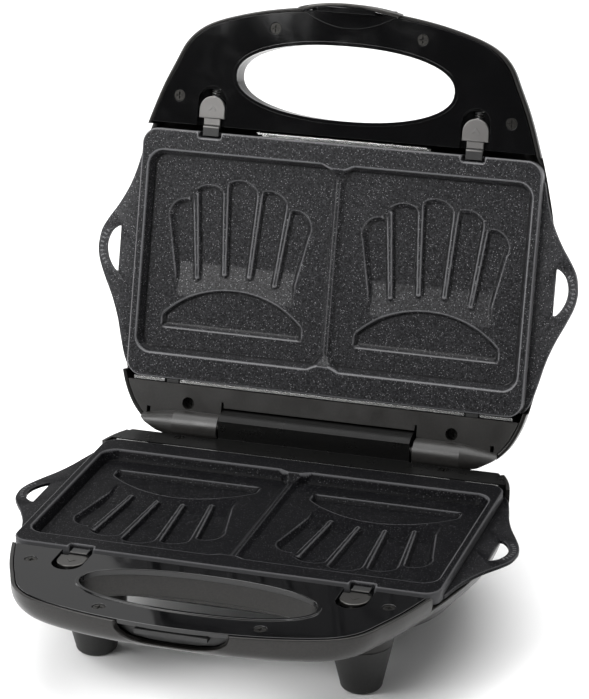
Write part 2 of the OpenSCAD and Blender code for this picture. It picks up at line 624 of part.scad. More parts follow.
module clip_keeper() {
    color(BLACK) in_base() {
        // dark liner of the clip's recess
        intersection() {
            translate([0, 0, -13]) linear_extrude(9.8) difference() { outline(5.8); outline(7.2); }
            at(0, 226, 0) rotate([90, 0, 0]) linear_extrude(20) smile(30, 5, -1.9, -10.2);
        }
        // ledge that the hook catches under
        at(-19, 237.6, -5.8) cube([38, 5.4, 2.4]);
    }
}

base_shell();
base_frame();
base_rear_panel();
lower_plate();
lower_reflector();
lower_element();
lower_element_brackets();
feet();
foot_screws();
base_frame_screws();
base_rear_screws();
hinge_pins();
cord_gland();
terminal_block();
lower_thermostat();
thermal_fuse();
base_wiring();
lower_plate_catches();
clip_keeper();
base_latch_left();
base_latch_right();
base_latch_spring_left();
base_latch_spring_right();
lid_shell();
lid_frame();
lid_rear_panel();
upper_plate();
upper_reflector();
upper_element();
upper_element_brackets();
lid_frame_screws();
lid_rear_screws();
upper_thermostat();
lid_wiring();
upper_plate_catches();
neon_lamps();
lamp_holder();
power_lens();
ready_lens();
clip_pin();
closing_clip();
clip_spring();
lid_latch_left();
lid_latch_right();
lid_latch_spring_left();
lid_latch_spring_right();
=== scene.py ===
import bpy, bmesh, math, json
import numpy as np
from mathutils import Vector, Matrix


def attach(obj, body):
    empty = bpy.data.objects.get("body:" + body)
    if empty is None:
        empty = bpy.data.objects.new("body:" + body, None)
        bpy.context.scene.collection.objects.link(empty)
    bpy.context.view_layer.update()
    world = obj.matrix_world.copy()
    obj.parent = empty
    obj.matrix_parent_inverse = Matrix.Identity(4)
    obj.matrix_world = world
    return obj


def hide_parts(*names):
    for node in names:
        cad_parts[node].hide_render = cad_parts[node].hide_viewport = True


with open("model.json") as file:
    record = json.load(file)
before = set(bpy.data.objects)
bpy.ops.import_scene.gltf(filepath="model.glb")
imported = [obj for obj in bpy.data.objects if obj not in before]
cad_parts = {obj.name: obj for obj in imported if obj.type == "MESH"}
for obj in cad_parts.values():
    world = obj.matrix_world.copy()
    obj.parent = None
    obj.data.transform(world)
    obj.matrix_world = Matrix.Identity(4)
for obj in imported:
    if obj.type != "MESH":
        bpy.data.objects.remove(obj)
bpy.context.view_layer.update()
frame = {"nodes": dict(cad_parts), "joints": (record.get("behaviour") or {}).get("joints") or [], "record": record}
NODES = frame["nodes"]

# ---------------------------------------------------------------- half frames
# Each half is built in millimetres as (x, d, h): x across, d from the hinge
# towards the handle, h above the rim plane of that half's cooking plate.
HINGE = [j for j in frame["joints"] if j["name"] == "lid_hinge"][0]["pos_m"]
HY, HZ = HINGE[1], HINGE[2]
BASE_RIM, LID_RIM = -2.3, -1.5
OPEN = math.radians(-106)


def place(p, half):
    p = np.asarray(p, float)
    x, d, h = p[:, 0] / 1e3, p[:, 1] / 1e3, p[:, 2] / 1e3
    if half == "base":
        return np.c_[x, HY - d, HZ + BASE_RIM / 1e3 + h]
    y, z = -d, LID_RIM / 1e3 - h
    return np.c_[x, HY + y * math.cos(OPEN) - z * math.sin(OPEN), HZ + y * math.sin(OPEN) + z * math.cos(OPEN)]


def sm(t):
    t = np.clip(t, 0, 1)
    return t * t * (3 - 2 * t)


def smax(a, b, k):
    h = np.clip(0.5 + 0.5 * (a - b) / k, 0, 1)
    return b + (a - b) * h + k * h * (1 - h)


def smin(a, b, k):
    return -smax(-a, -b, k)


# ---------------------------------------------------------------- materials
def lnk(nt, a, b):
    nt.links.new(a, b)


class Mat:
    """a Principled material and a few ways of adding detail to it, in object space"""

    def __init__(s, name, color, rough=0.5, metal=0.0, coat=0.0, coat_rough=0.05, spec=0.5, ior=None):
        s.m = bpy.data.materials.new(name)
        s.m.use_nodes = True
        s.nt = s.m.node_tree
        s.b = s.nt.nodes["Principled BSDF"]
        s.b.inputs["Base Color"].default_value = (*color, 1)
        s.b.inputs["Roughness"].default_value = rough
        s.b.inputs["Metallic"].default_value = metal
        s.b.inputs["Coat Weight"].default_value = coat
        s.b.inputs["Coat Roughness"].default_value = coat_rough
        s.b.inputs["Specular IOR Level"].default_value = spec
        if ior:
            s.b.inputs["IOR"].default_value = ior
        s.co = s.nt.nodes.new("ShaderNodeTexCoord").outputs["Object"]
        s.normal = None

    def node(s, kind, **kw):
        n = s.nt.nodes.new(kind)
        for k, v in kw.items():
            setattr(n, k, v)
        return n

    def noise(s, scale, detail=2.0, rough=0.5, stretch=None, distortion=0.0):
        n = s.node("ShaderNodeTexNoise")
        n.inputs["Scale"].default_value = scale
        n.inputs["Detail"].default_value = detail
        n.inputs["Roughness"].default_value = rough
        n.inputs["Distortion"].default_value = distortion
        co = s.co
        if stretch:
            m = s.node("ShaderNodeMapping")
            m.inputs["Scale"].default_value = stretch
            lnk(s.nt, co, m.inputs["Vector"])
            co = m.outputs["Vector"]
        lnk(s.nt, co, n.inputs["Vector"])
        return n.outputs["Fac"]

    def cells(s, scale, out="Distance", randomness=1.0):
        n = s.node("ShaderNodeTexVoronoi")
        n.inputs["Scale"].default_value = scale
        n.inputs["Randomness"].default_value = randomness
        lnk(s.nt, s.co, n.inputs["Vector"])
        return n.outputs[out]

    def remap(s, v, a, b, c, d, smooth=False):
        n = s.node("ShaderNodeMapRange")
        if smooth:
            n.interpolation_type = "SMOOTHSTEP"
        for i, val in zip(("From Min", "From Max", "To Min", "To Max"), (a, b, c, d)):
            n.inputs[i].default_value = val
        lnk(s.nt, v, n.inputs["Value"])
        return n.outputs["Result"]

    def ramp(s, v, stops):
        n = s.node("ShaderNodeValToRGB")
        e = n.color_ramp.elements
        while len(e) < len(stops):
            e.new(0.5)
        for i, (pos, c) in enumerate(stops):
            e[i].position = pos
            e[i].color = (*c, 1)
        lnk(s.nt, v, n.inputs["Fac"])
        return n.outputs["Color"]

    def mix(s, f, a, b):
        n = s.node("ShaderNodeMix")
        n.data_type = "RGBA"
        lnk(s.nt, f, n.inputs["Factor"])
        for v, sock in ((a, n.inputs[6]), (b, n.inputs[7])):
            if isinstance(v, tuple):
                sock.default_value = (*v, 1)
            else:
                lnk(s.nt, v, sock)
        return n.outputs[2]

    def math(s, op, a, b=None):
        n = s.node("ShaderNodeMath")
        n.operation = op
        for v, sock in ((a, n.inputs[0]), (b, n.inputs[1])):
            if v is None:
                continue
            if isinstance(v, (int, float)):
                sock.default_value = v
            else:
                lnk(s.nt, v, sock)
        return n.outputs[0]

    def color(s, v):
        lnk(s.nt, v, s.b.inputs["Base Color"])
        return s

    def rough(s, v):
        lnk(s.nt, v, s.b.inputs["Roughness"])
        return s

    def metallic(s, v):
        lnk(s.nt, v, s.b.inputs["Metallic"])
        return s

    def bump(s, v, dist, strength=1.0):
        n = s.node("ShaderNodeBump")
        n.inputs["Strength"].default_value = strength
        n.inputs["Distance"].default_value = dist
        lnk(s.nt, v, n.inputs["Height"])
        if s.normal is not None:
            lnk(s.nt, s.normal, n.inputs["Normal"])
        s.normal = n.outputs["Normal"]
        lnk(s.nt, s.normal, s.b.inputs["Normal"])
        return s


def m_taupe(name="warm_metallic"):
    m = Mat(name, (0.035, 0.033, 0.031), 0.32, 0.55, coat=0.12, coat_rough=0.1)
    fl = m.cells(2600, "Color")
    sep = m.node("ShaderNodeSeparateColor")
    lnk(m.nt, fl, sep.inputs["Color"])
    v = m.remap(sep.outputs[0], 0, 1, 0.0, 1.0)
    m.color(m.mix(v, (0.008, 0.0075, 0.007), (0.018, 0.0168, 0.0155)))
    m.rough(m.remap(m.noise(60, 3), 0.3, 0.7, 0.29, 0.36))
    m.bump(sep.outputs[1], 0.00001, 0.25)
    m.bump(m.noise(900, 2), 0.00001, 0.25)
    return m.m


def m_gloss(name="gloss_black"):
    m = Mat(name, (0.0065, 0.0065, 0.007), 0.09, 0.0, coat=0.0, spec=0.5)
    smudge = m.noise(38, 4, 0.6, distortion=0.6)
    m.rough(m.remap(smudge, 0.35, 0.75, 0.055, 0.13, True))
    m.color(m.mix(m.remap(m.noise(1500, 1), 0.45, 0.75, 0, 1), (0.0016, 0.0016, 0.0018), (0.003, 0.003, 0.0033)))
    m.bump(m.noise(160, 2), 0.00003, 0.1)
    return m.m


def m_satin(name, color, rough=0.42, grain=1400, amount=0.000012):
    m = Mat(name, color, rough)
    c2 = tuple(min(1, c * 1.35 + 0.002) for c in color)
    m.color(m.mix(m.remap(m.noise(grain * 0.7, 3), 0.35, 0.7, 0, 1), color, c2))
    m.rough(m.remap(m.noise(80, 3), 0.3, 0.7, rough - 0.05, rough + 0.06))
    m.bump(m.noise(grain, 2), amount, 0.6)
    return m.m


def m_plate(name="coated_plate", low=(0.0045, 0.0045, 0.005), high=(0.026, 0.026, 0.028), spec=0.2, edge=0.16, pale=0.24):
    """dark coating with a coarse pale speckle; its raised edges are painted paler as painted highlight and its creases
    painted darker as painted shade
    """
    m = Mat(name, (0.02, 0.02, 0.022), 0.3, 0.0, spec=spec)
    mott = m.remap(m.noise(900, 3, 0.7), 0.38, 0.62, 0, 1, True)
    base = m.mix(mott, low, high)
    fleck = m.remap(m.cells(1050, "Distance"), 0.12, 0.32, 1, 0, True)
    pick = m.remap(m.noise(820, 1), 0.44, 0.58, 0, 1, True)
    col = m.mix(m.math("MULTIPLY", fleck, pick), base, (pale, pale, pale * 1.04))
    geo = m.node("ShaderNodeNewGeometry")
    # painted highlight: convex edges, found by pointiness, are painted paler in place of edge highlights
    painted_edge_highlight = m.remap(geo.outputs["Pointiness"], 0.512, 0.545, 0, 0.85, True)
    col = m.mix(painted_edge_highlight, col, (edge, edge, edge * 1.04))
    # painted shade: concave creases, found by pointiness, are painted near black
    painted_crease_shade = m.remap(geo.outputs["Pointiness"], 0.455, 0.49, 0.8, 0, True)
    m.color(m.mix(painted_crease_shade, col, (0.002, 0.002, 0.0022)))
    m.rough(m.remap(m.noise(110, 3), 0.3, 0.7, 0.3, 0.33))
    m.bump(m.noise(1000, 2, 0.6), 0.00006, 0.7)
    m.bump(m.noise(2600, 2), 0.00003, 0.5)
    return m.m


def m_metal(name, color, rough=0.3, scratch=(20, 900, 900), amount=0.00001):
    m = Mat(name, color, rough, 1.0)
    m.rough(m.remap(m.noise(40, 4, stretch=scratch), 0.3, 0.7, max(0.05, rough - 0.08), rough + 0.1))
    m.color(m.mix(m.noise(120, 3), tuple(c * 0.86 for c in color), tuple(min(1, c * 1.08) for c in color)))
    m.bump(m.noise(30, 3, stretch=scratch), amount, 0.4)
    return m.m


def m_lens(name, color):
    m = Mat(name, color, 0.12, 0.0, coat=0.6, coat_rough=0.04)
    m.b.inputs["Transmission Weight"].default_value = 0.25
    m.b.inputs["IOR"].default_value = 1.49
    m.color(m.mix(m.remap(m.noise(300, 3), 0.3, 0.7, 0, 1), tuple(c * 0.75 for c in color), color))
    m.rough(m.remap(m.noise(150, 2), 0.3, 0.7, 0.09, 0.16))
    return m.m


MAT = {
    "shell": m_taupe(), "frame": m_gloss(),
    "panel": m_satin("satin_panel", (0.014, 0.0133, 0.0125), 0.33),
    "plate": m_plate(), "reflector": m_metal("bright_sheet", (0.82, 0.82, 0.81), 0.22),
    "element": m_metal("element_sheath", (0.3, 0.29, 0.28), 0.42),
    "bracket": m_metal("plated_strip", (0.6, 0.6, 0.59), 0.35),
    "foot": m_satin("foot_rubber", (0.006, 0.006, 0.0056), 0.5, 1000, 0.00002),
    "screw": m_metal("dark_screw", (0.035, 0.034, 0.032), 0.3), "pin": m_metal("turned_pin", (0.56, 0.55, 0.54), 0.28),
    "gland": m_satin("gland_rubber", (0.012, 0.012, 0.012), 0.55),
    "ceramic": m_satin("ceramic", (0.62, 0.6, 0.54), 0.6), "fuse": m_metal("fuse_case", (0.6, 0.57, 0.5), 0.4),
    "wire": m_satin("wire_sleeve", (0.42, 0.05, 0.035), 0.6),
    "catch": m_satin("black_catch", (0.003, 0.003, 0.003), 0.45),
    "latch": m_metal("latch_grey", (0.2, 0.195, 0.19), 0.34, (300, 300, 300)),
    "spring": m_metal("spring_wire", (0.6, 0.6, 0.6), 0.25),
    "clip": m_gloss("gloss_clip"), "lens_red": m_lens("red_lens", (0.62, 0.03, 0.02)),
    "lens_green": m_lens("green_lens", (0.03, 0.42, 0.1)), "lamp": m_lens("lamp_glass", (0.9, 0.62, 0.45)),
}
# painted shade: a darker, less glossy copy of the plate coating for the lower plate, which has the same coating as the
# upper one
LOWER_PLATE_SHADED_COPY = m_plate("coated_plate_low_painted_shade", (0.002, 0.002, 0.0022), (0.006, 0.006, 0.007), 0.03, 0.08, 0.07)
GREY_PAD = m_metal("pale_latch", (0.16, 0.156, 0.152), 0.36, (300, 300, 300))
DARK_PAD = m_metal("dark_latch", (0.07, 0.068, 0.065), 0.36, (300, 300, 300))
# painted shade: a darker, less glossy copy of the satin panel finish for the base's rear panel, which lies in the
# lid's shade
BASE_PANEL_SHADED_COPY = m_satin("satin_panel_painted_shade", (0.003, 0.003, 0.0029), 0.3)
for _n in BASE_PANEL_SHADED_COPY.node_tree.nodes:
    if _n.type == "BSDF_PRINCIPLED":
        _n.inputs["Specular IOR Level"].default_value = 0.15
SLOT = {s["node"]: s["material_slot"] for s in frame["record"]["subparts"]}


def dress(obj, mat):
    obj.data.materials.clear()
    obj.data.materials.append(mat)
    for p in obj.data.polygons:
        p.material_index = 0


for n, o in NODES.items():
    dress(o, MAT[SLOT[n]])
# the base's rear panel gets the painted-shade copy of the panel finish
dress(NODES["base_rear_panel"], BASE_PANEL_SHADED_COPY)


# ---------------------------------------------------------------- mesh helpers
def smooth(me, angle=35):
    for p in me.polygons:
        p.use_smooth = True
    me.set_sharp_from_angle(angle=math.radians(angle))


def add(name, verts, faces, half, body, slot, replaces=(), angle=35, merge=None, recalc=True, mat=None):
    me = bpy.data.meshes.new(name)
    v = place(verts, half) if half else np.asarray(verts, float)
    me.from_pydata([tuple(p) for p in v], [], [list(f) for f in faces])
    bm = bmesh.new()
    bm.from_mesh(me)
    if merge:
        bmesh.ops.remove_doubles(bm, verts=bm.verts, dist=merge)
        bmesh.ops.dissolve_degenerate(bm, edges=bm.edges, dist=1e-7)
    if recalc:
        bmesh.ops.recalc_face_normals(bm, faces=bm.faces)
    bm.to_mesh(me)
    bm.free()
    smooth(me, angle)
    ob = bpy.data.objects.new(name, me)
    bpy.context.scene.collection.objects.link(ob)
    ob.data.materials.append(mat or MAT[slot])
    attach(ob, body)
    if replaces:
        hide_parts(*replaces)
    return ob


def loft(rings, closed=True, cap0=False, cap1=False, base=0):
    """faces between rings of equal length"""
    n = len(rings[0])
    f = []
    for r in range(len(rings) - 1):
        for i in range(n if closed else n - 1):
            j = (i + 1) % n
            a, b = base + r * n, base + (r + 1) * n
            f.append((a + i, b + i, b + j, a + j))
    if cap0:
        f.append(tuple(base + i for i in range(n))[::-1])
    if cap1:
        f.append(tuple(base + (len(rings) - 1) * n + i for i in range(n)))
    return f


def join_parts(parts):
    vs, fs, o = [], [], 0
    for v, f in parts:
        v = np.asarray(v, float)
        vs.append(v)
        fs += [tuple(o + k for k in q) for q in f]
        o += len(v)
    return np.vstack(vs), fs


def soften(name, width=0.4, seg=3, angle=32, dissolve=0.6):
    """round the edges of a carried-over piece with modifiers"""
    o = NODES[name]
    for p in o.data.polygons:
        p.use_smooth = True
    w = o.modifiers.new("weld", "WELD")
    w.merge_threshold = 0.00001
    d = o.modifiers.new("flat", "DECIMATE")
    d.decimate_type = "DISSOLVE"
    d.angle_limit = math.radians(dissolve)
    b = o.modifiers.new("round", "BEVEL")
    b.width = width / 1e3
    b.segments = seg
    b.limit_method = "ANGLE"
    b.angle_limit = math.radians(angle)
    b.harden_normals = True
    b.use_clamp_overlap = True
    wn = o.modifiers.new("shade", "WEIGHTED_NORMAL")
    wn.keep_sharp = True
    return o


# ---------------------------------------------------------------- casing outline
HALF_PTS = [(0, 239.5), (24, 238.3), (46, 235.2), (64, 231), (78, 226.3), (87, 221), (93.8, 213.6), (99, 203),
            (105.8, 188), (112.5, 169), (118, 150), (123, 127), (125.5, 96), (124, 62), (119.5, 37), (115, 19),
            (107, 5), (94, -4.5), (76, -8), (50, -8), (22, -8), (0, -8)]


def outline_right(sub):
    P = [np.array(p, float) for p in HALF_PTS]
    n = len(P)
    flip = np.array([-1.0, 1.0])

    def g(i):
        return P[-i] * flip if i < 0 else (P[2 * n - 2 - i] * flip if i >= n else P[i])
    out = []
    for i in range(n - 1):
        a, b, c, d = g(i - 1), g(i), g(i + 1), g(i + 2)
        for k in range(sub):
            t = k / sub
            out.append(0.5 * (2 * b + (c - a) * t + (2 * a - 5 * b + 4 * c - d) * t * t + (3 * b - a - 3 * c + d) * t ** 3))
    out.append(P[-1])
    return np.array(out)


DENSE = outline_right(60)


def sampled_outline(steps, pitch=2.6):
    """points of the right half at an even pitch, with tight pairs where the rim steps up or down"""
    seg = np.r_[0, np.cumsum(np.linalg.norm(np.diff(DENSE, axis=0), axis=1))]
    u = list(np.linspace(0, seg[-1], int(seg[-1] / pitch)))
    for cond in steps:
        c = cond(DENSE[:, 0], DENSE[:, 1])
        for i in np.nonzero(np.diff(np.sign(c)))[0]:
            t = c[i] / (c[i] - c[i + 1])
            at = seg[i] + t * (seg[i + 1] - seg[i])
            u = [w for w in u if abs(w - at) > 0.9]
            u += [at - 0.8, at - 0.25, at - 0.09, at + 0.09, at + 0.25, at + 0.8]
    u = np.array(sorted(u))
    u = u[(u >= 0) & (u <= seg[-1])]
    R = np.c_[np.interp(u, seg, DENSE[:, 0]), np.interp(u, seg, DENSE[:, 1])]
    R[0, 0] = R[-1, 0] = 0
    left = R[-2:0:-1] * np.array([-1.0, 1.0])
    return np.vstack([R, left])


def spine(P):
    return np.c_[np.zeros(len(P)), np.clip(P[:, 1], 45, 195)]


def inset(P, s):
    C = spine(P)
    r = np.linalg.norm(P - C, axis=1)
    return P + (C - P) * (s / r)[:, None]


def se(t, n=2.4):
    t = np.clip(t, 0, 1)
    return (1 - (1 - t) ** n) ** (1 / n)


BELLY, WING, WALL = 39.88, 15.43, 2.2


def wing_h(d):
    return WING + 6 * sm((175 - d) / 90)


def shell_h(s, d):
    w = wing_h(d)
    return -3.2 - (w - 3.2) * se(s / 12, 2.3) - (BELLY - w) * sm((185 - d) / 60) * se((s - 10) / 30, 1.6)


def smile(x, w, side, mid):
    t = np.clip(abs(x) / w, 0, 1)
    return side + (mid - side) * np.sqrt(np.clip(1 - t ** 4, 0, 1))


def shell_top(half, x, d):
    """height of the casing's edge along its outline"""
    h = np.full(len(x), -0.9)
    ax = abs(x)
    h = np.where((ax > 85) & (d > 27.5) & (d < 167), -7.9, h)
    if half == "base":
        cut = np.where(d < 2.2, -6.6 - (2.2 - d) * math.tan(math.radians(16)), 2.3 - np.sqrt(np.clip(8.9 ** 2 - d ** 2, 0, None)))
        h = np.where((d < 8.9) & (ax > 55.8), np.minimum(h, cut), h)
        h = np.where((ax <= 55.8) & (d < 8.2), -9.5, h)
        h = np.where((ax < 30.3) & (d > 200), smile(x, 30.3, -1.7, -11.0), h)
    else:
        h = np.where((ax < 57) & (d < 15), -14.5, h)
        h = np.where((ax >= 57) & (ax < 102.9) & (d < 9.2), -10.1, h)
        h = np.where((ax < 27.8) & (d > 200), -12.5, h)
    return h


def build_shell(half):
    if half == "base":
        steps = [lambda x, d: d - 167, lambda x, d: np.where(d > 100, 9, d - 27.5), lambda x, d: np.where(d > 100, 9, x - 55.8),
                 lambda x, d: np.where(d < 200, 9, x - 30.3)]
    else:
        steps = [lambda x, d: d - 167, lambda x, d: np.where(d > 100, 9, d - 27.5), lambda x, d: np.where(d > 100, 9, x - 57),
                 lambda x, d: np.where(d > 60, 9, x - 102.9), lambda x, d: np.where(d < 200, 9, x - 27.8)]
    P = sampled_outline(steps)
    n = len(P)
    top = shell_top(half, P[:, 0], P[:, 1])
    # inset samples of the skin
    ph = np.linspace(0, math.pi / 2, 15)
    s1 = 12 * (1 - np.cos(ph) ** (2 / 2.3))
    s2 = 10 + 30 * (1 - np.cos(np.linspace(0, math.pi / 2, 17)))
    S = sorted(set(np.round(np.r_[s1, s2, 0.05], 3)))
    S = [v for i, v in enumerate(S) if i == 0 or v - S[i - 1] > 0.12 or v < 0.2] + [40]
    S = sorted(set(S))

    def curve(off):
        """skin as rows of (inset, h) for each outline point"""
        ss, hh = [], []
        for s in S:
            q = inset(P, s + off)
            d = P[:, 1] + (q[:, 1] - P[:, 1]) * 0.3
            ss.append(np.full(n, s + off))
            hh.append(shell_h(s, d) + off)
        return np.array(ss), np.array(hh)

    def trimmed(off):
        ss, hh = curve(off)
        ss = np.vstack([np.full((1, n), off), ss])
        hh = np.vstack([np.full((1, n), 0.0), hh])     # upright part above the curve
        for i in range(n):
            # where the row crosses the rim height, everything above moves onto it
            k = np.nonzero(hh[:, i] > top[i])[0]
            last = k[-1] if len(k) else -1
            if last >= 0:
                a, b = last, last + 1
                t = (hh[a, i] - top[i]) / (hh[a, i] - hh[b, i])
                s_at = ss[a, i] + t * (ss[b, i] - ss[a, i])
                ss[:last + 1, i] = s_at
                hh[:last + 1, i] = top[i]
        return ss, hh
    so, ho = trimmed(0.0)
    si, hi = trimmed(WALL)
    rings = []

    def ring(s, h):
        q = inset(P, s + 0.12)
        rings.append(np.c_[q, h])
    # inner skin from its deep end up to the rim, over the rounded rim, down the outer skin
    deep_f = [0.97, 0.85, 0.7, 0.55, 0.42, 0.3, 0.2, 0.1]

    def deep(f, off):
        r = np.linalg.norm(P - spine(P), axis=1)
        s = 40 + off + (r - 40 - off) * f
        q = inset(P, s + 0.12)
        w = min(1, f / 0.55)
        d = P[:, 1] + (q[:, 1] - P[:, 1]) * (0.3 + 0.7 * w)
        return np.c_[q, shell_h(50, d) + off]
    for f in (0.97, 0.75, 0.5, 0.25, 0.1):
        rings.append(deep(f, WALL))
    for k in range(len(si) - 1, 0, -2):
        ring(si[k], hi[k])
    r = 0.45
    room = np.minimum(r, np.maximum(0.02, (si[0] - so[0]) * 0.45))
    for a in (0, 0.5, 1):
        c, s_ = math.cos(a * math.pi / 2), math.sin(a * math.pi / 2)
        ring(si[0] - room * (1 - c), top - room + room * s_)
    for a in (1, 0.67, 0.33, 0):
        c, s_ = math.cos(a * math.pi / 2), math.sin(a * math.pi / 2)
        ring(so[0] + room * (1 - c), top - room + room * s_)
    for k in range(1, len(so)):
        h = np.minimum(ho[k], top - room)
        ring(so[k], h)
    for f in deep_f[::-1]:
        rings.append(deep(f, 0.0))
    V = np.vstack(rings)
    F = loft(rings, True, False, False)
    # close the two ends along the spine
    for ri, flip in ((0, False), (len(rings) - 1, True)):
        c = len(V)
        sp = np.c_[spine(P), rings[ri][:, 2]]
        V = np.vstack([V, sp])
        for i in range(n):
            j = (i + 1) % n
            q = (ri * n + i, ri * n + j, c + j, c + i)
            F.append(q if not flip else q[::-1])
    return V, F


def lens_loop(grow, n=160):
    a, b = 62.5 + grow, 20.5 + grow
    t = np.arange(n) * 2 * math.pi / n
    c, s = np.cos(t), np.sin(t)
    return np.c_[a * np.sign(c) * abs(c) ** 0.9, 198 - b * np.sign(s) * abs(s) ** 0.9]


def sleeve():
    prof = [(0.3, -3.2), (0.3, -14.0)] + [(0.3 + 1.5 * (1 - math.cos(a)), -14.0 - 1.55 * math.sin(a))
                                           for a in np.linspace(0.2, math.pi / 2, 7)] + [(2.4, -15.52), (2.6, -15.3), (2.6, -3.2)]
    rings = [np.c_[lens_loop(o), np.full(160, h)] for o, h in prof]
    rings.append(rings[0])
    return np.vstack(rings), loft(rings)


def boolean_cut(ob, cutter):
    m = ob.modifiers.new("cut", "BOOLEAN")
    m.operation = "DIFFERENCE"
    m.solver = "EXACT"
    m.object = cutter
    bpy.context.view_layer.update()
    dg = bpy.context.evaluated_depsgraph_get()
    me = bpy.data.meshes.new_from_object(ob.evaluated_get(dg))
    ob.modifiers.clear()
    old = ob.data
    ob.data = me
    bpy.data.meshes.remove(old)
    bpy.data.objects.remove(cutter)


def cutter_from(verts, faces, half):
    me = bpy.data.meshes.new("cutter")
    me.from_pydata([tuple(p) for p in place(verts, half)], [], [list(f) for f in faces])
    bm = bmesh.new()
    bm.from_mesh(me)
    bmesh.ops.remove_doubles(bm, verts=bm.verts, dist=1e-7)
    bmesh.ops.recalc_face_normals(bm, faces=bm.faces)
    bm.to_mesh(me)
    bm.free()
    o = bpy.data.objects.new("cutter", me)
    bpy.context.scene.collection.objects.link(o)
    return o


def foot_boss(sx):
    """round boss over a front foot that rises into the casing"""
    n = 72
    cx, cd, r0, bottom = sx * 72.5, 155, 16.6, -36.2
    t = np.arange(n) * 2 * math.pi / n
    prof = [(15.4, bottom), (16.1, bottom + 0.1), (16.45, bottom + 0.4), (16.6, bottom + 1.1)]
    rings = [np.c_[cx + r * np.cos(t), cd + r * np.sin(t), np.full(n, h)] for r, h in prof]
    dd = cd + r0 * np.sin(t)
    surf = -wing_h(dd) - (BELLY - wing_h(dd)) * sm((185 - dd) / 60)
    topr = np.c_[cx + r0 * np.cos(t), dd, np.maximum(surf + 2.8, bottom + 1.3)]
    rings.append(topr)
    inner = topr.copy()
    inner[:, 0] = cx + (inner[:, 0] - cx) * 0.4
    inner[:, 1] = cd + (inner[:, 1] - cd) * 0.4
    inner[:, 2] = -wing_h(inner[:, 1]) - (BELLY - wing_h(inner[:, 1])) * sm((185 - inner[:, 1]) / 60) + 2.8
    rings.append(inner)
    return np.vstack(rings), loft(rings, True, True, True)


def rear_pad(sx):
    """low round pad over a rear foot"""
    n = 72
    t = np.arange(n) * 2 * math.pi / n
    prof = [(14.6, -39.95), (15.2, -39.8), (15.6, -39.3), (15.6, -37.2)]
    rings = [np.c_[sx * 72.5 + r * np.cos(t), 32 + r * np.sin(t), np.full(n, h)] for r, h in prof]
    return np.vstack(rings), loft(rings, True, True, True)


def shells():
    for half in ("base", "lid"):
        V, F = build_shell(half)
        ob = add(half + "_casing", V, F, half, half, "shell", [half + "_shell"], angle=40, merge=1e-6)
        lp = lens_loop(1.8)
        cut = cutter_from(*((lambda r: (np.vstack(r), loft(r, True, True, True)))(
            [np.c_[lp, np.full(len(lp), -30.0)], np.c_[lp, np.full(len(lp), 10.0)]])), half)
        boolean_cut(ob, cut)
        smooth(ob.data, 40)
        dress(ob, MAT["shell"])
        parts = [sleeve()]
        if half == "base":
            parts += [foot_boss(-1), foot_boss(1), rear_pad(-1), rear_pad(1)]
        v, f = join_parts(parts)
        add(half + "_grip_sleeve", v, f, half, half, "shell", angle=40, merge=1e-7)


shells()


# ---------------------------------------------------------------- cooking plates
POCKET, FIG = 5.8, 2.5


def rr_sdf(x, y, w, d, r):
    qx, qy = abs(x) - (w / 2 - r), abs(y) - (d / 2 - r)
    return np.hypot(np.maximum(qx, 0), np.maximum(qy, 0)) + np.minimum(np.maximum(qx, qy), 0) - r


def poly_sdf(x, y, pts):
    """signed distance to a polygon, negative inside"""
    p = np.array(pts, float)
    best = np.full(x.shape, 1e9)
    inside = np.zeros(x.shape, bool)
    for i in range(len(p)):
        a, b = p[i], p[(i + 1) % len(p)]
        e = b - a
        wx, wy = x - a[0], y - a[1]
        t = np.clip((wx * e[0] + wy * e[1]) / (e @ e), 0, 1)
        best = np.minimum(best, (wx - e[0] * t) ** 2 + (wy - e[1] * t) ** 2)
        c = (a[1] > y) != (b[1] > y)
        with np.errstate(divide="ignore", invalid="ignore"):
            inside ^= c & (x < (b[0] - a[0]) * (y - a[1]) / (b[1] - a[1]) + a[0])
    return np.where(inside, -1, 1) * np.sqrt(best)


def wall(sd, run, k=0.16):
    """0 outside, 1 inside, with a straight draft between two small fillets"""
    t = -sd / run
    return smax(0.0, smin(1.0, t, k), k)


CAP = [(-31.7, 117, 9.8), (-18.2, 123, 12.6), (-0.7, 127, 12.5), (16.8, 123, 12.2), (32.3, 116, 10)]
CAP_BODY = [(-41.5, 117), (-35.2, 84), (-35.2, 62), (35.4, 62), (35.4, 84), (42.4, 117), (20, 126), (-20, 126)]
RIBS = [(-26.7, 129, -22.5, 83.4), (-9.3, 136, -6.6, 86.5), (11.3, 136, 8.2, 86.5), (28.6, 128, 23.4, 83)]


def figure(x, d):
    """depth of the pressed figure, 0 at the pocket floor"""
    sd = poly_sdf(x, d, CAP_BODY)
    for cx, cd, r in CAP:
        sd = np.minimum(sd, np.hypot(x - cx, d - cd) - r)
    sd = smax(sd, -1e3, 1e-6)
    run = 1.4 + 1.2 * sm((d - 74) / 34)
    cap = wall(sd, run, 0.1)
    # the floor rises again towards the band
    ramp = smin(1.0, smax(0.0, (d - 72.0) / 19.0, 0.04), 0.04)
    depth = FIG * cap * ramp
    # raised ribs that are left in the cap
    for x0, d0, x1, d1 in RIBS:
        ex, ed = x0 - x1, d0 - d1
        t = np.clip(((x - x1) * ex + (d - d1) * ed) / (ex * ex + ed * ed), 0, 1)
        rs = np.hypot(x - x1 - ex * t, d - d1 - ed * t) - (2.3 + 0.4 * t)
        depth = depth * (1 - 0.93 * wall(rs, 1.4, 0.08))
    # crescent band
    c = np.hypot(x, d - 20) - 58
    b = smax(smax(c, 53.3 - d, 0.8), abs(x) - 41.4, 1.2)
    for s in (-1, 1):
        b = np.minimum(b, np.hypot(x - s * 37.5, d - 57.2) - 3.9)
    band = wall(b, 1.9, 0.1)
    return np.maximum(depth, FIG * band)


